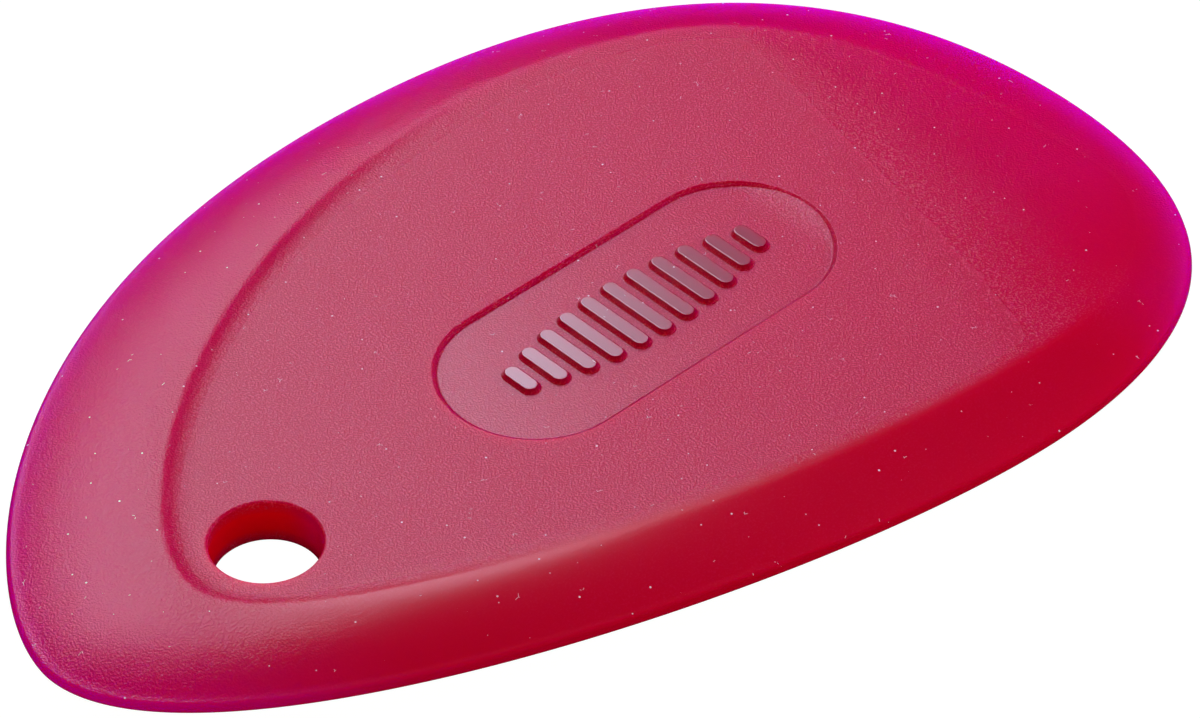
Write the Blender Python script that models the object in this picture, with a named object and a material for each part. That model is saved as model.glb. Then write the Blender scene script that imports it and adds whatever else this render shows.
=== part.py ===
"""Flat silicone spatula: a pebble-shaped scraper of soft silicone moulded over a stiff inner plate.

Seen from above the tail, with the hanging hole, points to -X and the broad nose to +X.
The belly is the long side towards -Y and the crown the long side towards +Y.
Z = 0 is the flat underside, and the origin is under the middle of the body. Units are metres.
"""

import math

import bmesh
import bpy
import numpy as np

# Body outline: a closed curve through its four outermost points. A pull is the length of
# the curve's handle on the named side of a point, so a longer pull makes a flatter side.
BODY_LENGTH = 0.1338
BODY_WIDTH = 0.0874
TAIL_Y = -0.0020
TAIL_PULL_BELLY = 0.0200
TAIL_PULL_CROWN = 0.0120
BELLY_X = 0.0278
BELLY_PULL_TAIL = 0.0307
BELLY_PULL_NOSE = 0.0344
NOSE_Y = -0.0067
NOSE_PULL_BELLY = 0.0136
NOSE_PULL_CROWN = 0.0305
CROWN_X = 0.0066
CROWN_PULL_NOSE = 0.0400
CROWN_PULL_TAIL = 0.0498

# Hanging hole
HOLE_FROM_TAIL = 0.0253
HOLE_Y = -0.0031
HOLE_RADIUS = 0.0056

# Flat panel inside the flanks: its tail end runs round the hanging hole
PANEL_THICKNESS = 0.0050
PANEL_TAIL_RADIUS = 0.0089
PANEL_TAIL_PULL_BELLY = 0.0115
PANEL_TAIL_PULL_CROWN = 0.0098
PANEL_BELLY_X = 0.0357
PANEL_BELLY_PULL_TAIL = 0.0334
PANEL_BELLY_PULL_NOSE = 0.0135
PANEL_NOSE_Y = -0.0185
PANEL_NOSE_PULL_BELLY = 0.0085
PANEL_NOSE_PULL_CROWN = 0.0328
PANEL_CROWN_X = 0.0187
PANEL_CROWN_PULL_NOSE = 0.0323
PANEL_CROWN_PULL_TAIL = 0.0455
BELLY_FLANK = 0.0087
NOSE_FLANK = 0.0061
CROWN_FLANK = 0.0095

# Ridge: the tail stands a little proud of the panel, and the step fades out along both sides
RIDGE_RISE = 0.0005
RIDGE_STEP = 0.0013
RIDGE_FADE = 0.0450
RIDGE_END_BELLY = 0.0730
RIDGE_END_CROWN = 0.0990

# Lip: the thin full-round edge that scrapes
LIP_THICKNESS = 0.0014
LIP_HEIGHT = 0.0025
EDGE_CRISPNESS = 0.60
EDGE_CRISP_DIRECTION = math.radians(-40)

# Thumb plaque: a shallow recess with round ends, and a spindle of raised bars on its floor
PLAQUE_X = 0.0082
PLAQUE_Y = -0.0026
PLAQUE_LENGTH = 0.0486
PLAQUE_WIDTH = 0.0206
PLAQUE_DEPTH = 0.00045
BAR_COUNT = 11
BAR_PITCH = 0.0032
BAR_WIDTH = 0.0017
BAR_LENGTH = 0.0096
END_BAR_LENGTH = 0.0042
BAR_RISE = 0.0004

# Stiffening core, and how the silicone holds it: SKIN is the silicone over and under it
SKIN = 0.0012
CORE_INSET = 0.0020
CORE_RING_WIDTH = 0.0036
LINER_WALL = 0.0016
KEY_RADIUS = 0.0030
KEY_COUNT = 10
KEY_FROM_EDGE = 0.0065
KEY_FROM_LINER = 0.0080
SUPPORT_PIN_RADIUS = 0.0016
SUPPORT_PIN_COUNT = 4
CLEARANCE = 0.0003

# How finely the curves are divided
QUARTER_STEPS = 30
FLANK_STEPS = 5
LIP_STEPS = 6
HOLE_SIDES = 48
KEY_SIDES = 20
BAR_END_STEPS = 4
PLAQUE_END_STEPS = 14

TAIL_X = -BODY_LENGTH / 2
HOLE_X = TAIL_X + HOLE_FROM_TAIL
LINER_RADIUS = HOLE_RADIUS + LINER_WALL
CORE_BOTTOM = SKIN + CLEARANCE
CORE_TOP = PANEL_THICKNESS - SKIN - CLEARANCE
CUT_MARGIN = 0.001


def quarter(start, start_handle, end_handle, end):
    """Points along one cubic curve, without its end point."""
    t = np.linspace(0, 1, QUARTER_STEPS, endpoint=False)[:, None]
    first_half = (1 - t) ** 3 * start + 3 * (1 - t) ** 2 * t * start_handle
    return first_half + 3 * (1 - t) * t**2 * end_handle + t**3 * end


def four_point_outline(*corners):
    """A closed outline through its tail, belly, nose and crown, each (x, y, pull in, pull out)."""
    headings = np.array([(0, -1), (1, 0), (0, 1), (-1, 0)])
    quarters = []
    for index, (x, y, _, pull_out) in enumerate(corners):
        following = (index + 1) % len(corners)
        next_x, next_y, next_pull_in, _ = corners[following]
        start = np.array([x, y])
        end = np.array([next_x, next_y])
        start_handle = start + pull_out * headings[index]
        end_handle = end - next_pull_in * headings[following]
        quarters.append(quarter(start, start_handle, end_handle, end))
    return np.vstack(quarters)


def body_outline():
    return four_point_outline(
        (TAIL_X, TAIL_Y, TAIL_PULL_CROWN, TAIL_PULL_BELLY),
        (BELLY_X, -BODY_WIDTH / 2, BELLY_PULL_TAIL, BELLY_PULL_NOSE),
        (BODY_LENGTH / 2, NOSE_Y, NOSE_PULL_BELLY, NOSE_PULL_CROWN),
        (CROWN_X, BODY_WIDTH / 2, CROWN_PULL_NOSE, CROWN_PULL_TAIL),
    )


def inner_outline(tail_radius, inset):
    """The panel's outline, drawn in by inset on its long sides, with its tail end round the hole."""
    growth = tail_radius - PANEL_TAIL_RADIUS
    return four_point_outline(
        (HOLE_X - tail_radius, HOLE_Y, PANEL_TAIL_PULL_CROWN + growth, PANEL_TAIL_PULL_BELLY + growth),
        (PANEL_BELLY_X, -BODY_WIDTH / 2 + BELLY_FLANK + inset, PANEL_BELLY_PULL_TAIL, PANEL_BELLY_PULL_NOSE),
        (BODY_LENGTH / 2 - NOSE_FLANK - inset, PANEL_NOSE_Y, PANEL_NOSE_PULL_BELLY, PANEL_NOSE_PULL_CROWN),
        (PANEL_CROWN_X, BODY_WIDTH / 2 - CROWN_FLANK - inset, PANEL_CROWN_PULL_NOSE, PANEL_CROWN_PULL_TAIL),
    )


def core_outline():
    return inner_outline(LINER_RADIUS + CLEARANCE + CORE_RING_WIDTH, CORE_INSET)


def offset(points, distance):
    """The outline moved outwards by distance, square to itself."""
    along = np.roll(points, -1, axis=0) - np.roll(points, 1, axis=0)
    outward = np.column_stack([along[:, 1], -along[:, 0]])
    return points + distance * outward / np.linalg.norm(outward, axis=1)[:, None]


def nearest_on(outline, points):
    """For each point, the nearest place on the closed outline."""
    edge = np.roll(outline, -1, axis=0) - outline
    away = points[:, None] - outline[None]
    share = np.clip((away * edge).sum(axis=2) / (edge**2).sum(axis=1), 0, 1)
    places = outline + share[..., None] * edge
    nearest = np.linalg.norm(points[:, None] - places, axis=2).argmin(axis=1)
    return places[np.arange(len(points)), nearest]


def smooth_step(value):
    value = np.clip(value, 0, 1)
    return value * value * (3 - 2 * value)


def ridge_rise(points):
    """How far the ridge stands above the panel at each point of the panel's edge."""
    from_tail = points[:, 0] - TAIL_X
    end = np.where(points[:, 1] < HOLE_Y, RIDGE_END_BELLY, RIDGE_END_CROWN)
    return RIDGE_RISE * smooth_step((end - from_tail) / RIDGE_FADE)


def crispness(points):
    """0 where the flank rolls gently off the ridge, up to EDGE_CRISPNESS where it breaks away at an angle."""
    angle = np.arctan2(points[:, 1], points[:, 0])
    return EDGE_CRISPNESS * np.clip(np.cos(angle - EDGE_CRISP_DIRECTION), 0, 1)


def ring_at(points, heights):
    return np.column_stack([points, np.broadcast_to(heights, len(points))])


def flank_rings(ridge, lip_line, ridge_height, lip_height, crisp):
    """Rings down the flank, from the ridge to just before the lip's round."""
    rings = []
    for step in range(FLANK_STEPS):
        share = step / FLANK_STEPS
        fall = crisp * share + (1 - crisp) * share**2
        heights = ridge_height + fall * (lip_height - ridge_height)
        rings.append(ring_at(ridge + share * (lip_line - ridge), heights))
    return rings


def lip_rings(outline):
    """Rings round the lip, from its top to its bottom."""
    radius = LIP_THICKNESS / 2
    rings = []
    for step in range(LIP_STEPS + 1):
        angle = math.pi / 2 - math.pi * step / LIP_STEPS
        points = offset(outline, radius * math.cos(angle) - radius)
        rings.append(ring_at(points, LIP_HEIGHT + radius * math.sin(angle)))
    return rings


def body_rings():
    """The body's skin as rings of points, from the top panel's edge over the lip to the underside's edge."""
    outline = body_outline()
    panel = nearest_on(inner_outline(PANEL_TAIL_RADIUS, 0), outline)
    square = outline - panel
    ridge = panel + RIDGE_STEP * square / np.linalg.norm(square, axis=1)[:, None]
    lip_line = offset(outline, -LIP_THICKNESS / 2)
    lip_top = LIP_HEIGHT + LIP_THICKNESS / 2
    lip_bottom = LIP_HEIGHT - LIP_THICKNESS / 2
    crisp = crispness(outline)
    rise = ridge_rise(panel)
    panel_edge = ring_at(panel, PANEL_THICKNESS)
    step = ring_at((panel + ridge) / 2, PANEL_THICKNESS + rise / 2)
    top_flank = flank_rings(ridge, lip_line, PANEL_THICKNESS + rise, lip_top, crisp)
    under_flank = flank_rings(ridge, lip_line, np.zeros(len(ridge)), lip_bottom, crisp)
    return [panel_edge, step, *top_flank, *lip_rings(outline), *reversed(under_flank)]


def material(name, colour, roughness):
    made = bpy.data.materials.new(name)
    made.use_nodes = True
    shader = made.node_tree.nodes["Principled BSDF"]
    shader.inputs["Base Color"].default_value = (*colour, 1)
    shader.inputs["Roughness"].default_value = roughness
    shader.inputs["Metallic"].default_value = 0
    return made


def new_object(name, shape):
    """The bmesh as an object, its faces pointing out and its curved faces shaded smooth."""
    bmesh.ops.recalc_face_normals(shape, faces=shape.faces)
    mesh = bpy.data.meshes.new(name)
    shape.to_mesh(mesh)
    shape.free()
    mesh.shade_smooth()
    mesh.set_sharp_from_angle(angle=math.radians(35))
    made = bpy.data.objects.new(name, mesh)
    bpy.context.scene.collection.objects.link(made)
    return made


def as_tool(tool):
    """Marks an object that only cuts, or is joined into, another."""
    tool.hide_render = True
    tool.display_type = "WIRE"
    return tool


def lofted(name, rings):
    """A closed solid through the rings, with a flat face over its first and last one."""
    shape = bmesh.new()
    loops = []
    for ring in rings:
        verts = [shape.verts.new(point) for point in ring]
        loops.append([shape.edges.new((verts[i - 1], verts[i])) for i in range(len(verts))])
    for upper, lower in zip(loops, loops[1:]):
        bmesh.ops.bridge_loops(shape, edges=upper + lower)
    bmesh.ops.edgeloop_fill(shape, edges=loops[0])
    bmesh.ops.edgeloop_fill(shape, edges=loops[-1])
    return new_object(name, shape)


def prism(shape, outline, bottom, top):
    """Adds an upright prism on the outline to the bmesh."""
    base = shape.faces.new([shape.verts.new((x, y, bottom)) for x, y in outline])
    side = bmesh.ops.extrude_face_region(shape, geom=[base])["geom"]
    raised = [part for part in side if isinstance(part, bmesh.types.BMVert)]
    bmesh.ops.translate(shape, verts=raised, vec=(0, 0, top - bottom))


def circle(x, y, radius, sides):
    angles = np.arange(sides) * 2 * math.pi / sides
    return np.column_stack([x + radius * np.cos(angles), y + radius * np.sin(angles)])


def stadium(x, y, length, width, end_steps, upright=False):
    """An outline with two straight sides and two round ends, lying along X or, upright, along Y."""
    half = (length - width) / 2
    turn = np.linspace(-math.pi / 2, math.pi / 2, end_steps + 1)
    end = np.column_stack([half + width / 2 * np.cos(turn), width / 2 * np.sin(turn)])
    outline = np.vstack([end, -end])
    if upright:
        outline = outline[:, ::-1] * (-1, 1)
    return outline + (x, y)


def prisms(name, outlines, bottom, top):
    shape = bmesh.new()
    for outline in outlines:
        prism(shape, outline, bottom, top)
    return new_object(name, shape)


def boolean(target, tool, operation):
    cut = target.modifiers.new(tool.name, "BOOLEAN")
    cut.operation = operation
    cut.object = tool
    cut.solver = "EXACT"


def evenly_along(points, count):
    """Places at equal distances along an open line of points, half a distance in from each end."""
    lengths = np.linalg.norm(np.diff(points, axis=0), axis=1)
    along = np.concatenate([[0], np.cumsum(lengths)])
    wanted = (np.arange(count) + 0.5) * along[-1] / count
    return np.column_stack([np.interp(wanted, along, points[:, axis]) for axis in (0, 1)])


def key_places():
    """Along a line inside the core's edge, which stops where it nears the hanging hole at the tail."""
    line = offset(core_outline(), -KEY_FROM_EDGE)
    from_hole = np.hypot(line[:, 0] - HOLE_X, line[:, 1] - HOLE_Y)
    return evenly_along(line[from_hole > LINER_RADIUS + KEY_RADIUS + KEY_FROM_LINER], KEY_COUNT)


def support_pin_places():
    """Midway between neighbouring keying holes, spread along the same line."""
    between = (key_places()[1:] + key_places()[:-1]) / 2
    chosen = np.linspace(0, len(between) - 1, SUPPORT_PIN_COUNT).round().astype(int)
    return between[np.unique(chosen)]


def core_plate(name, growth):
    """The core's plate with its holes, every face moved outwards by growth."""
    bottom = CORE_BOTTOM - growth
    top = CORE_TOP + growth
    plate = prisms(name, [offset(core_outline(), growth)], bottom, top)
    holes = [circle(HOLE_X, HOLE_Y, LINER_RADIUS + CLEARANCE - growth, HOLE_SIDES)]
    holes += [circle(x, y, KEY_RADIUS - growth, KEY_SIDES) for x, y in key_places()]
    cutter = as_tool(prisms(name + "_hole_cutter", holes, bottom - CUT_MARGIN, top + CUT_MARGIN))
    boolean(plate, cutter, "DIFFERENCE")
    return plate


def grip_bars():
    """A row of upright bars, longest in the middle, sunk a little into the plaque's floor."""
    floor = PANEL_THICKNESS - PLAQUE_DEPTH
    middle = (BAR_COUNT - 1) / 2
    outlines = []
    for index in range(BAR_COUNT):
        share = (index - middle) / middle
        length = END_BAR_LENGTH + (BAR_LENGTH - END_BAR_LENGTH) * (1 - share**2)
        x = PLAQUE_X + (index - middle) * BAR_PITCH
        outlines.append(stadium(x, PLAQUE_Y, length, BAR_WIDTH, BAR_END_STEPS, upright=True))
    return as_tool(prisms("grip_bars", outlines, floor - BAR_RISE / 2, floor + BAR_RISE))


def silicone_body():
    body = lofted("silicone_body", body_rings())
    hanging_hole = prisms(
        "hanging_hole_cutter",
        [circle(HOLE_X, HOLE_Y, HOLE_RADIUS, HOLE_SIDES)],
        -CUT_MARGIN,
        PANEL_THICKNESS + RIDGE_RISE + CUT_MARGIN,
    )
    plaque = prisms(
        "plaque_cutter",
        [stadium(PLAQUE_X, PLAQUE_Y, PLAQUE_LENGTH, PLAQUE_WIDTH, PLAQUE_END_STEPS)],
        PANEL_THICKNESS - PLAQUE_DEPTH,
        PANEL_THICKNESS + CUT_MARGIN,
    )
    support_pins = prisms(
        "support_pin_cutter",
        [circle(x, y, SUPPORT_PIN_RADIUS, KEY_SIDES) for x, y in support_pin_places()],
        -CUT_MARGIN,
        CORE_BOTTOM,
    )
    boolean(body, as_tool(plaque), "DIFFERENCE")
    boolean(body, grip_bars(), "UNION")
    boolean(body, as_tool(core_plate("core_cavity", CLEARANCE)), "DIFFERENCE")
    boolean(body, as_tool(hanging_hole), "DIFFERENCE")
    boolean(body, as_tool(support_pins), "DIFFERENCE")
    body.data.materials.append(material("crimson_silicone", (0.50, 0.012, 0.060), 0.45))
    return body


def stiffening_core():
    core = core_plate("stiffening_core", 0)
    core.data.materials.append(material("glass_filled_nylon", (0.10, 0.09, 0.09), 0.55))
    return core


def main():
    for leftover in list(bpy.data.objects):
        bpy.data.objects.remove(leftover, do_unlink=True)
    silicone_body()
    stiffening_core()


main()
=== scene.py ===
"""Flat silicone spatula on a white table: the looks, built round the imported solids. Units are metres."""

import math

import bmesh
import bpy
import numpy as np
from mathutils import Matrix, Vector
from mathutils.geometry import interpolate_bezier


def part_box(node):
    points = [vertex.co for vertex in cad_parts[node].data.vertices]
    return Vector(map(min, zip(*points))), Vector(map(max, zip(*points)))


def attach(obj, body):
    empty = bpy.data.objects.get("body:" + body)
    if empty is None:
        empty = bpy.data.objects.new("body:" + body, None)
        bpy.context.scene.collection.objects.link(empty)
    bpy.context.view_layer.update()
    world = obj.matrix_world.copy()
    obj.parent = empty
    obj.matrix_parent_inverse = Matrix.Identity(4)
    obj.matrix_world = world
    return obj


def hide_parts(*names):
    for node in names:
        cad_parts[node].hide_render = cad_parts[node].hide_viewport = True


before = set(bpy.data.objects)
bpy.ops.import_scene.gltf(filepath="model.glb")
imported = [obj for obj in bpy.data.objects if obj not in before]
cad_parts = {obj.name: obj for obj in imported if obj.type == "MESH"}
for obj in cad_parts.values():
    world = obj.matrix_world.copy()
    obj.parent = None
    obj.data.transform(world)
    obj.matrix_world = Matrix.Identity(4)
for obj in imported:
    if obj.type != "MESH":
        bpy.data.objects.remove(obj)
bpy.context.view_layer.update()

# Camera
# A long lens looks down on the plaque side from in front of the belly, tail at the left.
# The plaque's axis, which is +X, runs up to the right in the picture.
CAMERA_TURN = math.radians(43.3)
CAMERA_RISE = math.radians(41.45)
CAMERA_DISTANCE = 0.500
CAMERA_LENS = 150
CAMERA_TARGET = Vector((-0.0001, -0.00585, 0.0050))

ahead = Vector((math.sin(CAMERA_TURN), math.cos(CAMERA_TURN), 0))
to_camera = Vector((0, 0, math.sin(CAMERA_RISE))) - math.cos(CAMERA_RISE) * ahead
camera = bpy.data.objects.new("camera", bpy.data.cameras.new("camera"))
camera.data.lens = CAMERA_LENS
camera.data.sensor_width = 36
camera.data.clip_start = 0.01
camera.location = CAMERA_TARGET + CAMERA_DISTANCE * to_camera
camera.rotation_euler = (-to_camera).to_track_quat("-Z", "Y").to_euler()
bpy.context.scene.collection.objects.link(camera)
bpy.context.scene.camera = camera

# Silicone body
# One moulding of soft crimson silicone round a stiff core. Its skin is rings of points: from the
# flat panel up a soft step to the ridge, down the flank, round the lip and back along the underside.
body_low, body_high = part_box("silicone_body")
PANEL_TOP = 0.0050
HOLE_CENTRE = (body_low.x + 0.0253, -0.0031)
HOLE_RADIUS = 0.0056
HOLE_MARGIN = 0.0006
PANEL_TAIL_RADIUS = 0.0089
PANEL_TAIL_Y = -0.0034
RIDGE_RISE = body_high.z - PANEL_TOP
DROOP_DIRECTION = np.array([0.94, -0.34])
DROOP_START = 0.037
DROOP_REACH = 0.024
DROOP = 0.00125
DROOP_CURVE = 1.7
DROOP_HUB = np.array([0.020, -0.004])
STEP_FOOT = 0.0028
STEP_FACE = 0.00030
STEP_FOOT_CURVE = 1.7
RIDGE_FADE = 0.0450
RIDGE_END_BELLY = 0.0730
RIDGE_END_CROWN = 0.0990
LIP_RADIUS = 0.0007
LIP_HEIGHT = 0.0025
PARTING_LINE = 0.00004

# What changes round the body, by quarters: 0 is the tail, 1 the belly, 2 the nose, 3 the crown.
# BREAK is where the flank starts, outwards from the panel's outline, and BREAK_RADIUS how round
# that edge is. LEAN is how steep the flank starts: 0 is level, 1 straight, and more is hollow.
# DOME is how late the flank falls away towards the lip: 2 is even, and more is later and steeper.
BREAK = {0: 0.0010, 0.5: 0.0009, 0.75: 0.0004, 0.9: 0.0001, 1.2: -0.0003, 2.0: -0.0006, 2.3: -0.0013}
BREAK |= {2.5: -0.0009, 2.8: -0.0007, 3.0: 0.0006, 3.15: 0.0010}
BREAK_RADIUS = {0: 0.0005, 1.0: 0.0004, 1.5: 0.0005, 2.0: 0.0018, 2.25: 0.0030, 2.5: 0.0011, 3.0: 0.0007}
LEAN = {0: 0.2, 0.125: 0.25, 0.25: 0.4, 0.375: 0.5, 0.5: 0.55, 0.625: 0.75, 0.75: 1.1, 1.0: 1.35}
LEAN |= {2.5: 1.5, 2.8: 1.2, 3.0: 0.75, 3.125: 0.3, 3.25: 0.1, 3.4: 0, 3.65: 0, 3.75: 0.1, 3.88: 0.4}
DOME = {0: 3.0, 0.12: 2.5, 0.3: 2, 3.5: 2, 3.75: 2.5, 3.88: 3.2}
# GLOW is how much light from behind the thin lip lets through, FLANK_GLOW how much the flank does
# where it starts and NOSE_GLOW the panel at its edge. The subsurface reach follows it, and it is also
# painted into the colour as a magenta painted backlight. The next two say how far the flank, and then
# the panel's edge, is painted a deeper, less blue crimson as painted shade on the side away from that
# light, and how far its skin is smooth.
GLOW = {0: 1.0, 0.25: 0.4, 0.5: 0.05, 0.9: 0.05, 1.1: 0.3, 1.375: 0.45, 2.0: 0.5, 2.6: 0.8, 3.0: 1, 3.75: 1}
FLANK_GLOW = {0: 0.15, 0.2: 0, 1.3: 0.15, 1.8: 0.4, 2.2: 0.45, 2.5: 0.45, 3.0: 0.4, 3.3: 0.3, 3.7: 0.2}
NOSE_GLOW = {0: 0, 1.0: 0, 1.5: 0.35, 2.0: 0.5, 2.3: 0.45, 2.7: 0.2, 2.9: 0.05}
SHADE_AND_SMOOTH = {0.05: 0, 0.3: 1, 1.1: 1, 1.3: 0.3, 1.5: 0, 3.9: 0}
NOSE_SHADE_AND_SMOOTH = {0: 0, 0.9: 0, 1.2: 0.6, 1.5: 0.7, 1.9: 0.4, 2.2: 0.1, 2.5: 0}
# STEP_SHARE is how much of the ridge's full rise there is.
STEP_SHARE = {0: 1.15, 0.12: 0.7, 0.45: 0.6, 1.0: 0.6, 3.0: 1.0, 3.2: 1.15, 3.8: 1.25}

# The marks grow with these powers of the way across the panel's nose end and down the flank.
NOSE_MARK_CURVE = 1.5
FLANK_GLOW_CURVE = 0.8

HOLDING_WIDTH = 0.00005
QUARTER_STEPS = 96
EASING_STEPS = 16
DROOP_RINGS = 14
STEP_RINGS = 20
STEP_SAMPLES = 400
FLANK_RINGS = 22
FLANK_RING_CROWDING = 1.2
LIP_RINGS = 12
SKIN_MARKS = ("lip", "deep", "polish", "bore")

# The two outlines, each through its tail, belly, nose and crown: (x, y, pull in, pull out)
BODY_OUTLINE = (
    (body_low.x, -0.0011, 0.0114, 0.0217),
    (0.0283, body_low.y + 0.0001, 0.0293, 0.0339),
    (body_high.x - 0.0002, -0.0064, 0.0145, 0.0293),
    (0.0060, body_high.y, 0.0410, 0.0483),
)
PANEL_OUTLINE = (
    (HOLE_CENTRE[0] - PANEL_TAIL_RADIUS, PANEL_TAIL_Y, 0.0110, 0.0132),
    (0.0357, body_low.y + 0.0087, 0.0285, 0.0135),
    (body_high.x - 0.0061, -0.0185, 0.0085, 0.0328),
    (0.0182, body_high.y - 0.0095, 0.0330, 0.0404),
)


def outline_points(corners, steps):
    """The closed curve through the four corners, which face -Y, +X, +Y and -X in turn."""
    headings = [Vector((0, -1)), Vector((1, 0)), Vector((0, 1)), Vector((-1, 0))]
    points = []
    for index, (x, y, _, pull_out) in enumerate(corners):
        following = (index + 1) % len(corners)
        next_x, next_y, pull_in, _ = corners[following]
        start = Vector((x, y))
        end = Vector((next_x, next_y))
        start_handle = start + pull_out * headings[index]
        end_handle = end - pull_in * headings[following]
        points += interpolate_bezier(start, start_handle, end_handle, end, steps + 1)[:-1]
    return np.array(points)


def offset(points, distance):
    """The outline moved outwards, square to itself, by one distance or by one for each point."""
    along = np.roll(points, -1, axis=0) - np.roll(points, 1, axis=0)
    outward = np.column_stack([along[:, 1], -along[:, 0]])
    outward /= np.linalg.norm(outward, axis=1)[:, None]
    return points + np.reshape(distance, (-1, 1)) * outward


def nearest_on(outline, points):
    """For each point, the nearest place on the closed outline, and how far along it that is, 0 to 1."""
    edge = np.roll(outline, -1, axis=0) - outline
    away = points[:, None] - outline[None]
    share = np.clip((away * edge).sum(axis=2) / (edge**2).sum(axis=1), 0, 1)
    places = outline + share[..., None] * edge
    nearest = np.linalg.norm(points[:, None] - places, axis=2).argmin(axis=1)
    picked = (np.arange(len(points)), nearest)
    return places[picked], (nearest + share[picked]) / len(outline)


def smooth_step(value):
    value = np.clip(value, 0, 1)
    return value * value * (3 - 2 * value)


def drawn_in(loop, hub, direction, start, least=0.001):
    """A loop whose points past a line are drawn towards the hub until they lie on that line.

    Every point moves by the least share at any rate, so that no two rings coincide."""
    beyond = np.clip(loop @ direction - start, 0, None)
    inward = beyond / (beyond + start - hub @ direction)
    return loop + np.maximum(inward, least)[:, None] * (hub - loop)


def at_height(points, heights):
    return np.column_stack([points, np.broadcast_to(heights, len(points))])


def circle(centre, radius, sides):
    angles = np.arange(sides) * 2 * math.pi / sides
    return np.column_stack([centre[0] + radius * np.cos(angles), centre[1] + radius * np.sin(angles)])


def first_ring(shape, points, **marks):
    """A closed loop of edges through the points. Each of its vertices keeps the number of its point."""
    station = shape.verts.layers.int["station"]
    verts = [shape.verts.new(point) for point in points]
    for number, vert in enumerate(verts):
        vert[station] = number
        for name, mark in marks.items():
            vert[shape.verts.layers.float[name]] = mark
    return [shape.edges.new((verts[number - 1], verts[number])) for number in range(len(verts))]


def next_ring(shape, edges, points, **marks):
    """Faces extruded from a loop of edges out to the next ring of points. Returns the new loop."""
    station = shape.verts.layers.int["station"]
    made = bmesh.ops.extrude_edge_only(shape, edges=edges)["geom"]
    for vert in (part for part in made if isinstance(part, bmesh.types.BMVert)):
        vert.co = points[vert[station]]
        for name in SKIN_MARKS:
            mark = marks.get(name, 0)
            vert[shape.verts.layers.float[name]] = mark if np.isscalar(mark) else mark[vert[station]]
    return [part for part in made if isinstance(part, bmesh.types.BMEdge)]


def fill_flat(shape, *loops):
    """A flat face of triangles between an outer loop and the loops inside it."""
    bmesh.ops.triangle_fill(shape, edges=[edge for loop in loops for edge in loop], use_beauty=True)


skin = bmesh.new()
for name in SKIN_MARKS:
    skin.verts.layers.float.new(name)
skin.verts.layers.int.new("station")

outline = outline_points(BODY_OUTLINE, QUARTER_STEPS)
panel, along_panel = nearest_on(outline_points(PANEL_OUTLINE, 4 * QUARTER_STEPS), outline)
square = outline - panel
square /= np.linalg.norm(square, axis=1)[:, None]
quarter = 4 * along_panel


def around(settings):
    """A setting for every station of the outline, eased between the quarters that are given."""
    values = np.interp(quarter, list(settings), list(settings.values()), period=4)
    easing = np.hanning(EASING_STEPS)
    wrapped = np.concatenate([values[-len(easing) :], values, values[: len(easing)]])
    eased = np.convolve(wrapped, easing / easing.sum(), mode="same")
    return eased[len(easing) : -len(easing)]


flank_start = around(BREAK)
ridge = panel + flank_start[:, None] * square
lip_line = offset(outline, -LIP_RADIUS)
roundness = around(BREAK_RADIUS) / np.linalg.norm(lip_line - ridge, axis=1)
lean = around(LEAN)
dome = around(DOME)
ridge_end = np.where(panel[:, 1] < HOLE_CENTRE[1], RIDGE_END_BELLY, RIDGE_END_CROWN)
ridge_left = smooth_step((ridge_end - (panel[:, 0] - body_low.x)) / RIDGE_FADE)
rise = RIDGE_RISE * around(STEP_SHARE) * ridge_left
hole_distance = np.linalg.norm(panel - HOLE_CENTRE, axis=1)
foot_width = np.minimum(STEP_FOOT, hole_distance - HOLE_RADIUS - HOLE_MARGIN)
foot = panel - (foot_width + HOLDING_WIDTH)[:, None] * square

glow = around(GLOW)
flank_glow = around(FLANK_GLOW)
nose_glow = around(NOSE_GLOW)
deep = around(SHADE_AND_SMOOTH)
nose_deep = around(NOSE_SHADE_AND_SMOOTH)


def panel_height(points):
    """The panel is level, but its nose end droops a little."""
    beyond = np.clip(points @ DROOP_DIRECTION - DROOP_START, 0, None)
    return PANEL_TOP - DROOP * (beyond / DROOP_REACH) ** DROOP_CURVE


def step_slope(distance):
    """How steep the step is across itself: a long hollow foot, a short face and a round crest."""
    foot = (distance + foot_width) / (foot_width - STEP_FACE / 2)
    crest = (flank_start - distance) / (np.maximum(flank_start, STEP_FACE) - STEP_FACE / 2)
    return np.clip(foot, 0, 1) ** STEP_FOOT_CURVE * smooth_step(crest)


def flank_share(index):
    """How far down the flank a ring lies. The rings crowd a little towards the ridge."""
    return (index / FLANK_RINGS) ** FLANK_RING_CROWDING


def flank_ring(share, top, bottom):
    """A ring round the flank at a share of its width, between the heights where it starts and ends."""
    straight = np.sqrt(share**2 + roundness**2) - roundness
    straight /= np.sqrt(1 + roundness**2) - roundness
    fall = lean * straight + (1 - lean) * share**dome
    return at_height(ridge + share * (lip_line - ridge), top + fall * (bottom - top))


def flank_light(share):
    """How much light comes through the flank at a share of its width."""
    return flank_glow + (glow - flank_glow) * share**FLANK_GLOW_CURVE


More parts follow.
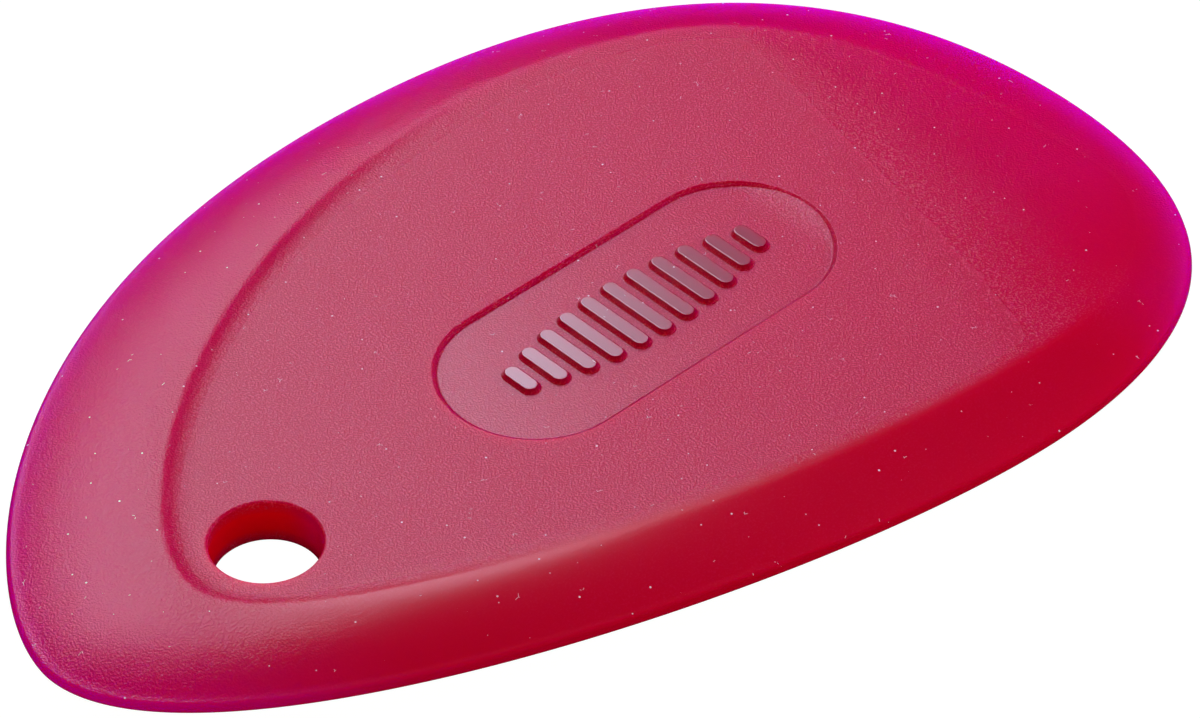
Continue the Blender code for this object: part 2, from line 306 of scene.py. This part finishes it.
level_edge = drawn_in(foot, DROOP_HUB, DROOP_DIRECTION, DROOP_START)
panel_edge = first_ring(skin, at_height(level_edge, PANEL_TOP))
edge = panel_edge
for index in range(1, DROOP_RINGS + 1):
    ring = level_edge + index / DROOP_RINGS * (foot - level_edge)
    growth = (index / DROOP_RINGS) ** NOSE_MARK_CURVE
    ring = at_height(ring, panel_height(ring))
    edge = next_ring(skin, edge, ring, lip=nose_glow * growth, deep=nose_deep * growth)
share = np.linspace(0, 1, STEP_SAMPLES)[:, None]
across = -foot_width + share * (foot_width + flank_start)
climbed = np.cumsum(step_slope(across), axis=0)
climbed /= climbed[-1]
for index in range(STEP_RINGS + 1):
    row = round(index / STEP_RINGS * (STEP_SAMPLES - 1))
    ring = panel + across[row][:, None] * square
    ring = at_height(ring, panel_height(ring) + rise * climbed[row])
    light = nose_glow + (flank_glow - nose_glow) * climbed[row]
    # How far the step is painted as shade, and smooth, grows as it climbs.
    shaded_share = nose_deep + (np.maximum(deep, nose_deep) - nose_deep) * climbed[row]
    edge = next_ring(skin, edge, ring, lip=light, deep=shaded_share)
flank_top = panel_height(ridge) + rise
for index in range(1, FLANK_RINGS):
    share = flank_share(index)
    ring = flank_ring(share, flank_top, LIP_HEIGHT + LIP_RADIUS)
    shaded_share = np.maximum(deep, nose_deep * (1 - share))
    edge = next_ring(skin, edge, ring, lip=flank_light(share), deep=shaded_share)
for index in range(LIP_RINGS + 1):
    turn = math.pi / 2 - math.pi * index / LIP_RINGS
    bead = PARTING_LINE if index == LIP_RINGS // 2 else 0
    points = offset(lip_line, (LIP_RADIUS + bead) * math.cos(turn))
    ring = at_height(points, LIP_HEIGHT + LIP_RADIUS * math.sin(turn))
    edge = next_ring(skin, edge, ring, lip=glow, deep=deep)
for index in reversed(range(FLANK_RINGS)):
    share = flank_share(index)
    ring = flank_ring(share, 0, LIP_HEIGHT - LIP_RADIUS)
    edge = next_ring(skin, edge, ring, lip=flank_light(share), deep=deep)
land_edge = next_ring(skin, edge, at_height(ridge - HOLDING_WIDTH * square, 0))

# Hanging hole
# A bore moulded through the body, with rounded edges and a little narrower below. Its wall is
# smoother than the grained skin.
HOLE_SIDES = 128
HOLE_EDGE_RADIUS = 0.00030
HOLE_DRAFT = 0.00025
BORE_DEPTHS = (0.3, 0.5, 0.7)
EDGE_RINGS = 5


def rounded_edge(radius, edge_radius, face, inwards):
    """(radius, height) pairs from a level face into a round hole, which goes up where inwards is 1."""
    turns = np.linspace(0, math.pi / 2, EDGE_RINGS + 1)
    radii = radius + edge_radius * (1 - np.sin(turns))
    heights = face + inwards * edge_radius * (1 - np.cos(turns))
    return [(radius + edge_radius + HOLDING_WIDTH, face), *zip(radii, heights)]


def turned(centre, profile, sides, backlit_red=0.0, glow=0.0):
    """Rings round a centre through the (radius, height) pairs. Returns the first and the last loop.

    The last two arguments mark the wall with painted backlight, and fade out towards both faces over a
    quarter of the depth."""
    first = first_ring(skin, at_height(circle(centre, profile[0][0], sides), profile[0][1]))
    edge = first
    for radius, height in profile[1:]:
        ring = at_height(circle(centre, radius, sides), height)
        inside = smooth_step(4 * min(height, PANEL_TOP - height) / PANEL_TOP)
        edge = next_ring(skin, edge, ring, bore=inside * backlit_red, lip=inside * glow)
    return first, edge


# The bore's wall has painted backlight: pure red where light comes through behind it, and crimson on its
# other side.
wall_turns = np.arange(HOLE_SIDES) * 2 * math.pi / HOLE_SIDES
lit_wall = smooth_step((np.sin(wall_turns) + 0.1) / 0.8)
bore_profile = rounded_edge(HOLE_RADIUS, HOLE_EDGE_RADIUS, PANEL_TOP, -1)
bore_profile += [(HOLE_RADIUS - HOLE_DRAFT * depth, PANEL_TOP * (1 - depth)) for depth in BORE_DEPTHS]
bore_profile += reversed(rounded_edge(HOLE_RADIUS - HOLE_DRAFT, HOLE_EDGE_RADIUS, 0, 1))
hole_top, hole_bottom = turned(HOLE_CENTRE, bore_profile, HOLE_SIDES, 0.5 + 0.5 * lit_wall, 1 - lit_wall)

# Support pin holes
# Four blind holes in the underside, down to the core, left by the pins that held it up in the mould.
PIN_HOLES = ((-0.0123, 0.0209), (0.0428, 0.0154), (0.0474, -0.0187), (-0.0066, -0.0203))
PIN_RADIUS = 0.0016
PIN_EDGE_RADIUS = 0.00015
PIN_PAST_CORE = 0.0001
PIN_SIDES = 48
core_low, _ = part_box("stiffening_core")
pin_profile = rounded_edge(PIN_RADIUS, PIN_EDGE_RADIUS, 0, 1) + [(PIN_RADIUS, core_low.z + PIN_PAST_CORE)]
pin_mouths = []
for centre in PIN_HOLES:
    pin_mouth, pin_end = turned(centre, pin_profile, PIN_SIDES)
    fill_flat(skin, pin_end)
    pin_mouths.append(pin_mouth)

# Thumb plaque
# A shallow recess with round ends, moulded into the panel, with a spindle of smooth grip bars
# raised on its floor.
PLAQUE_CENTRE = (0.0082, -0.0026)
PLAQUE_LENGTH = 0.0486
PLAQUE_WIDTH = 0.0206
PLAQUE_DEPTH = 0.00044
PLAQUE_FLOOR = PANEL_TOP - PLAQUE_DEPTH
PLAQUE_DRAFT = 0.00025
PLAQUE_EDGE_RADIUS = 0.00020
PLAQUE_SLOPE_START = 0.0285
PLAQUE_SLOPE_CURVE = 1.8
PLAQUE_END_DEPTH = 0.00009
PLAQUE_SLOPE_RINGS = 8
PLAQUE_END_STEPS = 48
PLAQUE_SHEEN = 0.2
BAR_COUNT = 11
BAR_PITCH = 0.0032
BAR_WIDTH = 0.0017
BAR_LENGTH = 0.0096
END_BAR_LENGTH = 0.0042
BAR_RISE = 0.00055
BAR_EDGE_RADIUS = 0.00012
BAR_END_STEPS = 10
LARGEST_ROUNDING = 0.45


def stadium(centre, length, width, end_steps, upright=False):
    """An outline with two straight sides and two round ends, lying along X or, upright, along Y."""
    half = (length - width) / 2
    turn = np.linspace(-math.pi / 2, math.pi / 2, end_steps + 1)
    end = np.column_stack([half + width / 2 * np.cos(turn), width / 2 * np.sin(turn)])
    points = np.vstack([end, -end])
    if upright:
        points = points[:, ::-1] * (-1, 1)
    return points + centre


def floor_sheen(points):
    """The plaque's floor is a little smoother towards the tail."""
    return PLAQUE_SHEEN * np.clip(0.5 - (points[:, 0] - PLAQUE_CENTRE[0]) / PLAQUE_LENGTH, 0, 1)


def plaque_height(points):
    """The plaque's floor is level, but its nose end slopes up to a shallow edge."""
    end = PLAQUE_CENTRE[0] + PLAQUE_LENGTH / 2
    beyond = np.clip((points[:, 0] - PLAQUE_SLOPE_START) / (end - PLAQUE_SLOPE_START), 0, 1)
    return PLAQUE_FLOOR + (PLAQUE_DEPTH - PLAQUE_END_DEPTH) * beyond**PLAQUE_SLOPE_CURVE


def step_down(outline, high, low, outward, radius, polish=0.0):
    """A small step with rounded edges. Its low side lies outside the outline where outward is 1."""
    radius = np.minimum(radius, LARGEST_ROUNDING * (high - low))
    inner = offset(outline, -outward * (radius + HOLDING_WIDTH))
    upper = first_ring(skin, at_height(inner, high), polish=polish)
    edge = upper
    for index in range(EDGE_RINGS + 1):
        turn = math.pi / 2 * index / EDGE_RINGS
        ring = offset(outline, -outward * radius * (1 - math.sin(turn)))
        points = at_height(ring, high - radius * (1 - math.cos(turn)))
        edge = next_ring(skin, edge, points, polish=polish)
    foot = offset(outline, outward * PLAQUE_DRAFT)
    for index in reversed(range(EDGE_RINGS + 1)):
        turn = math.pi / 2 * index / EDGE_RINGS
        ring = offset(foot, outward * radius * (1 - math.sin(turn)))
        points = at_height(ring, low + radius * (1 - math.cos(turn)))
        edge = next_ring(skin, edge, points, polish=floor_sheen(ring))
    lower = offset(foot, outward * (radius + HOLDING_WIDTH))
    return upper, next_ring(skin, edge, at_height(lower, low), polish=floor_sheen(lower))


plaque = stadium(PLAQUE_CENTRE, PLAQUE_LENGTH, PLAQUE_WIDTH, PLAQUE_END_STEPS)
plaque_top, edge = step_down(plaque, PANEL_TOP, plaque_height(plaque), -1, PLAQUE_EDGE_RADIUS)
foot = offset(plaque, -PLAQUE_DRAFT - PLAQUE_EDGE_RADIUS - HOLDING_WIDTH)
level_edge = drawn_in(foot, np.array(PLAQUE_CENTRE), np.array([1, 0]), PLAQUE_SLOPE_START)
for index in range(1, PLAQUE_SLOPE_RINGS + 1):
    ring = foot + index / PLAQUE_SLOPE_RINGS * (level_edge - foot)
    edge = next_ring(skin, edge, at_height(ring, plaque_height(ring)), polish=floor_sheen(ring))
plaque_foot = edge
bar_feet = []
middle_bar = (BAR_COUNT - 1) / 2
for index in range(BAR_COUNT):
    share = (index - middle_bar) / middle_bar
    length = END_BAR_LENGTH + (BAR_LENGTH - END_BAR_LENGTH) * (1 - share**2)
    centre = (PLAQUE_CENTRE[0] + (index - middle_bar) * BAR_PITCH, PLAQUE_CENTRE[1])
    bar = stadium(centre, length, BAR_WIDTH, BAR_END_STEPS, upright=True)
    bar_top, bar_foot = step_down(bar, PLAQUE_FLOOR + BAR_RISE, PLAQUE_FLOOR, 1, BAR_EDGE_RADIUS, 1)
    fill_flat(skin, bar_top)
    bar_feet.append(bar_foot)

# The level faces: the panel, the plaque's floor and the underside
fill_flat(skin, panel_edge, hole_top, plaque_top)
fill_flat(skin, plaque_foot, *bar_feet)
fill_flat(skin, land_edge, hole_bottom, *pin_mouths)

bmesh.ops.recalc_face_normals(skin, faces=skin.faces)
bmesh.ops.triangulate(skin, faces=skin.faces, quad_method="FIXED")
skin_mesh = bpy.data.meshes.new("silicone_skin")
skin.to_mesh(skin_mesh)
skin.free()
skin_mesh.shade_smooth()
silicone_skin = bpy.data.objects.new("silicone_skin", skin_mesh)
bpy.context.scene.collection.objects.link(silicone_skin)

# Crimson silicone
# Dyed through and slightly translucent: a fine matt grain from the mould, satin where it is thin, on the
# smooth belly flank or polished, with a little dust and lint on top. Light is painted into its colour: a
# magenta painted backlight at the lip, a pure red one on the hole's wall and a deeper crimson painted
# shade on the belly flank.
CRIMSON = (0.50, 0.0003, 0.053, 1)
# Painted backlight: the magenta of light coming through the thin lip from behind.
PAINTED_BACKLIGHT_MAGENTA = (0.67, 0.0003, 0.13, 1)
# Painted shade: the deeper, less blue crimson of the belly flank, away from the light behind.
PAINTED_SHADE_CRIMSON = (0.53, 0.0003, 0.022, 1)
PALE_GRAIN = (0.70, 0.085, 0.17, 1)
DUST = (0.75, 0.55, 0.62, 1)
# Painted backlight: the pure red of the hole's wall where light comes through behind it.
PAINTED_BACKLIGHT_RED = (0.85, 0.0003, 0.012, 1)
BAR_RED = (0.30, 0.0003, 0.035, 1)
LIGHT_SCALE = 0.001
THICK_REACH = (4.0, 0.05, 1.0)
LIP_REACH = (4.0, 0.05, 26.0)
PAINTED_BACKLIGHT_CURVE = 1.3
MATT_ROUGHNESS = 0.285
SATIN_ROUGHNESS = 0.20
SATIN_LIP = 0.30
FLANK_SMOOTHNESS = 0.9
GRAIN_SCALE = 4600
GRAIN_DEPTH = 0.00007
PALE_FROM = 0.50
PALE_TO = 0.72
GRAINLESS_LIP = 0.25
LIP_PALENESS = 0.1
DUST_SCALE = 330
DUST_FROM = 0.68
SPECK_SIZE = 0.036
LINT_SCALE = 1100
LINT_WIDTH = 0.022
LINT_PATCH_SCALE = 700
LINT_FROM = 0.72
UPWARD = 0.6


def node_material(name):
    """A new material, with its node tree."""
    material = bpy.data.materials.new(name)
    material.use_nodes = True
    return material, material.node_tree


def feed(tree, socket, value):
    """Links another node's output to the socket, or sets the socket to a plain value."""
    if isinstance(value, bpy.types.NodeSocket):
        tree.links.new(value, socket)
    else:
        socket.default_value = value


def added(tree, kind, settings=None, **inputs):
    """A node with its settings, and its inputs fed by name, with _ for a space."""
    node = tree.nodes.new(kind)
    for name, value in (settings or {}).items():
        setattr(node, name, value)
    for name, value in inputs.items():
        feed(tree, node.inputs[name.replace("_", " ")], value)
    return node


def worked_out(tree, operation, *values, clamped=False):
    """The result of one sum or comparison on the values."""
    node = added(tree, "ShaderNodeMath", {"operation": operation, "use_clamp": clamped})
    for socket, value in zip(node.inputs, values):
        feed(tree, socket, value)
    return node.outputs[0]


def blended(tree, share, first, second, kind="RGBA"):
    """The first value, turning into the second as the share goes from 0 to 1."""
    node = added(tree, "ShaderNodeMix", {"data_type": kind}, Factor=share, A=first, B=second)
    return node.outputs["Result"]


def stretched(tree, value, low=0.0, high=1.0, to_low=0.0, to_high=1.0):
    """The value's range from low to high, stretched to another range and held at its ends."""
    names = {"Value": value, "From Min": low, "From Max": high, "To Min": to_low, "To Max": to_high}
    return added(tree, "ShaderNodeMapRange", **names).outputs[0]


def skin_mark(tree, name):
    return added(tree, "ShaderNodeAttribute", {"attribute_name": name}).outputs["Fac"]


silicone, tree = node_material("crimson_silicone")
place = added(tree, "ShaderNodeTexCoord")
lip, deep_flank, polish, bore_wall = (skin_mark(tree, name) for name in SKIN_MARKS)

# Painted backlight: magenta towards the thin lip, where light from behind comes through.
painted_backlight = worked_out(tree, "POWER", lip, PAINTED_BACKLIGHT_CURVE)
colour = blended(tree, painted_backlight, CRIMSON, PAINTED_BACKLIGHT_MAGENTA)
# Painted shade: a deeper, less blue crimson on the belly flank, away from the light behind.
colour = blended(tree, deep_flank, colour, PAINTED_SHADE_CRIMSON)
# Painted backlight: pure red on the hole's wall where light comes through behind it.
colour = blended(tree, bore_wall, colour, PAINTED_BACKLIGHT_RED)
colour = blended(tree, polish, colour, BAR_RED)

# Smooth places: the bars, the hole and, less so, the belly flank and the panel's edge next to it. The rest
# has a fine spark-eroded grain.
polished = worked_out(tree, "MAXIMUM", polish, bore_wall)
smooth = worked_out(tree, "MULTIPLY_ADD", deep_flank, FLANK_SMOOTHNESS, polished, clamped=True)
satin = worked_out(tree, "MAXIMUM", smooth, stretched(tree, lip, high=SATIN_LIP))
roughness = stretched(tree, satin, to_low=MATT_ROUGHNESS, to_high=SATIN_ROUGHNESS)
coarse = worked_out(tree, "SUBTRACT", 1, smooth, clamped=True)
grain = added(tree, "ShaderNodeTexNoise", Vector=place.outputs["Object"], Scale=GRAIN_SCALE, Detail=2)
grain = grain.outputs["Fac"]
bump = added(tree, "ShaderNodeBump", Distance=GRAIN_DEPTH, Strength=coarse, Height=grain)
inland = stretched(tree, lip, high=GRAINLESS_LIP, to_low=1, to_high=LIP_PALENESS)
pale_share = worked_out(tree, "MULTIPLY", coarse, inland)
pale_share = worked_out(tree, "MULTIPLY", stretched(tree, grain, PALE_FROM, PALE_TO), pale_share)
colour = blended(tree, pale_share, colour, PALE_GRAIN)

# Dust: one speck in each cell of a plan grid, kept in few cells only, and only where the skin faces up
plan = {"voronoi_dimensions": "2D"}
cells = added(tree, "ShaderNodeTexVoronoi", plan, Vector=place.outputs["Object"], Scale=DUST_SCALE)
chance = added(tree, "ShaderNodeSeparateColor", Color=cells.outputs["Color"]).outputs["Red"]
size = stretched(tree, chance, low=DUST_FROM, to_high=SPECK_SIZE)
speck = worked_out(tree, "LESS_THAN", cells.outputs["Distance"], size)
facing = added(tree, "ShaderNodeSeparateXYZ", Vector=place.outputs["Normal"]).outputs["Z"]
upward = worked_out(tree, "GREATER_THAN", facing, UPWARD)
# Lint: short bits of the thin lines between cells
plan["feature"] = "DISTANCE_TO_EDGE"
webs = added(tree, "ShaderNodeTexVoronoi", plan, Vector=place.outputs["Object"], Scale=LINT_SCALE)
thread = worked_out(tree, "LESS_THAN", webs.outputs["Distance"], LINT_WIDTH)
patches = added(tree, "ShaderNodeTexNoise", Vector=place.outputs["Object"], Scale=LINT_PATCH_SCALE)
here = worked_out(tree, "GREATER_THAN", patches.outputs["Fac"], LINT_FROM)
lint = worked_out(tree, "MULTIPLY", thread, here, clamped=True)
litter = worked_out(tree, "MAXIMUM", speck, lint)
dust = worked_out(tree, "MULTIPLY", litter, upward)

shader = tree.nodes["Principled BSDF"]
shader.inputs["Subsurface Scale"].default_value = LIGHT_SCALE
shader.inputs["IOR"].default_value = 1.43
shader.inputs["Coat Roughness"].default_value = 0.24
shader.inputs["Coat IOR"].default_value = 1.75
feed(tree, shader.inputs["Base Color"], blended(tree, dust, colour, DUST))
feed(tree, shader.inputs["Roughness"], roughness)
feed(tree, shader.inputs["Normal"], bump.outputs["Normal"])
feed(tree, shader.inputs["Coat Weight"], polish)
feed(tree, shader.inputs["Subsurface Weight"], worked_out(tree, "SUBTRACT", 1, dust))
reach = blended(tree, lip, THICK_REACH, LIP_REACH, "VECTOR")
feed(tree, shader.inputs["Subsurface Radius"], reach)

silicone_skin.data.materials.append(silicone)
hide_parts("silicone_body")
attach(silicone_skin, "root")

# Stiffening core
# A stiff plate of red glass-filled nylon inside the silicone. It keeps the CAD's own mesh, and all
# that shows of it is a spot up each pin hole, where short glass fibres make pale streaks.
CORE_RED = (0.42, 0.04, 0.07, 1)
FIBRE_PINK = (0.58, 0.19, 0.22, 1)
FLOW_SCALE = 90
FLOW_PULL = (0.006, 0.006, 0.006)
FIBRE_SCALE = (700, 5200, 2000)
FIBRES_FROM = 0.50
FIBRES_TO = 0.72
NYLON_ROUGHNESS = 0.46
FIBRE_ROUGHNESS = 0.62
FIBRE_DEPTH = 0.00002

nylon, tree = node_material("glass_filled_nylon")
place = added(tree, "ShaderNodeTexCoord")
flow = added(tree, "ShaderNodeTexNoise", Vector=place.outputs["Object"], Scale=FLOW_SCALE)
swirl = added(tree, "ShaderNodeVectorMath", {"operation": "MULTIPLY_ADD"})
for socket, value in zip(swirl.inputs, (flow.outputs["Color"], FLOW_PULL, place.outputs["Object"])):
    feed(tree, socket, value)
along_flow = added(tree, "ShaderNodeMapping", Vector=swirl.outputs["Vector"], Scale=FIBRE_SCALE)
fibres = added(tree, "ShaderNodeTexNoise", Vector=along_flow.outputs["Vector"], Scale=1, Detail=3)
fibres = fibres.outputs["Fac"]
streaks = stretched(tree, fibres, FIBRES_FROM, FIBRES_TO)
bump = added(tree, "ShaderNodeBump", Distance=FIBRE_DEPTH, Height=fibres)

shader = tree.nodes["Principled BSDF"]
shader.inputs["IOR"].default_value = 1.53
feed(tree, shader.inputs["Base Color"], blended(tree, streaks, CORE_RED, FIBRE_PINK))
roughness = stretched(tree, streaks, to_low=NYLON_ROUGHNESS, to_high=FIBRE_ROUGHNESS)
feed(tree, shader.inputs["Roughness"], roughness)
feed(tree, shader.inputs["Normal"], bump.outputs["Normal"])
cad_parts["stiffening_core"].material_slots[0].material = nylon

# Table
# A white table that the spatula lies on. It is seen from above only, so that a view from below
# shows the underside.
TABLE_GAP = 0.00003
TABLE_SIZE = 2.0
TABLE_PAINT = (0.8, 0.8, 0.8, 1)
TABLE_BRIGHTNESS = 1.08
SHADOW_SHARE = 0.08

table_shape = bmesh.new()
bmesh.ops.create_grid(table_shape, x_segments=1, y_segments=1, size=TABLE_SIZE)
table_mesh = bpy.data.meshes.new("table")
table_shape.to_mesh(table_mesh)
table_shape.free()
table = bpy.data.objects.new("table", table_mesh)
bpy.context.scene.collection.objects.link(table)
table.visible_glossy = False
table.location.z = -TABLE_GAP


def mixed_shader(tree, share, first, second):
    """The first shader, turning into the second as the share goes from 0 to 1."""
    node = added(tree, "ShaderNodeMixShader")
    for socket, value in zip(node.inputs, (share, first, second)):
        feed(tree, socket, value)
    return node.outputs[0]


white_table, tree = node_material("white_table")
tree.nodes.remove(tree.nodes["Principled BSDF"])
paint = added(tree, "ShaderNodeBsdfDiffuse", Color=TABLE_PAINT).outputs[0]
bright = added(tree, "ShaderNodeEmission", Strength=TABLE_BRIGHTNESS).outputs[0]
clear = added(tree, "ShaderNodeBsdfTransparent").outputs[0]
camera_ray = added(tree, "ShaderNodeLightPath").outputs["Is Camera Ray"]
backfacing = added(tree, "ShaderNodeNewGeometry").outputs["Backfacing"]
seen = mixed_shader(tree, SHADOW_SHARE, bright, paint)
from_above = mixed_shader(tree, camera_ray, paint, seen)
from_below = worked_out(tree, "MULTIPLY", backfacing, camera_ray)
surface = mixed_shader(tree, from_below, from_above, clear)
feed(tree, tree.nodes["Material Output"].inputs["Surface"], surface)
table.data.materials.append(white_table)

# Studio light
# A wide soft fill from the world, white to the camera and unseen in gloss, one large softbox behind
# and to the left that lays the haze on the skin, and one behind that lights through the lip.
FILL_STRENGTH = 0.40
FILL_TINT = (1, 0.95, 0.45, 1)
WHITE = (1, 1, 1, 1)
COOL = (0.97, 1.0, 1.22)
COLD = (0.97, 0.97, 1.75)

world = bpy.data.worlds.new("studio")
bpy.context.scene.world = world
world.use_nodes = True
tree = world.node_tree
path = added(tree, "ShaderNodeLightPath")
strength = blended(tree, path.outputs["Is Camera Ray"], FILL_STRENGTH, 1.0, "FLOAT")
not_glossy = worked_out(tree, "SUBTRACT", 1, path.outputs["Is Glossy Ray"])
dimmed = worked_out(tree, "MULTIPLY", strength, not_glossy)
background = tree.nodes["Background"]
feed(tree, background.inputs["Strength"], dimmed)
tint = blended(tree, path.outputs["Is Camera Ray"], FILL_TINT, WHITE)
feed(tree, background.inputs["Color"], tint)


def softbox(name, colour, turn, rise, distance, width, height, watts, glossy=True, diffuse=True):
    """An area lamp that faces the part. turn is clockwise from the way the camera looks, in degrees."""
    lamp = bpy.data.objects.new(name, bpy.data.lights.new(name, "AREA"))
    lamp.data.shape = "RECTANGLE"
    lamp.data.size = width
    lamp.data.size_y = height
    lamp.data.color = colour
    lamp.data.energy = watts
    heading = CAMERA_TURN + math.radians(turn)
    rise = math.radians(rise)
    towards = Vector((math.sin(heading), math.cos(heading), 0)) * math.cos(rise)
    towards.z = math.sin(rise)
    lamp.location = CAMERA_TARGET + distance * towards
    lamp.rotation_euler = (-towards).to_track_quat("-Z", "Y").to_euler()
    lamp.visible_camera = False
    lamp.visible_glossy = glossy
    lamp.visible_diffuse = diffuse
    bpy.context.scene.collection.objects.link(lamp)


softbox("haze_softbox", COOL, -23.2, 47.2, 0.484, width=0.30, height=0.31, watts=1.18, diffuse=False)
softbox("key_back", COLD, 26, 52, 0.480, width=0.40, height=0.40, watts=1.95, glossy=False)

bpy.context.scene.view_settings.view_transform = "Standard"
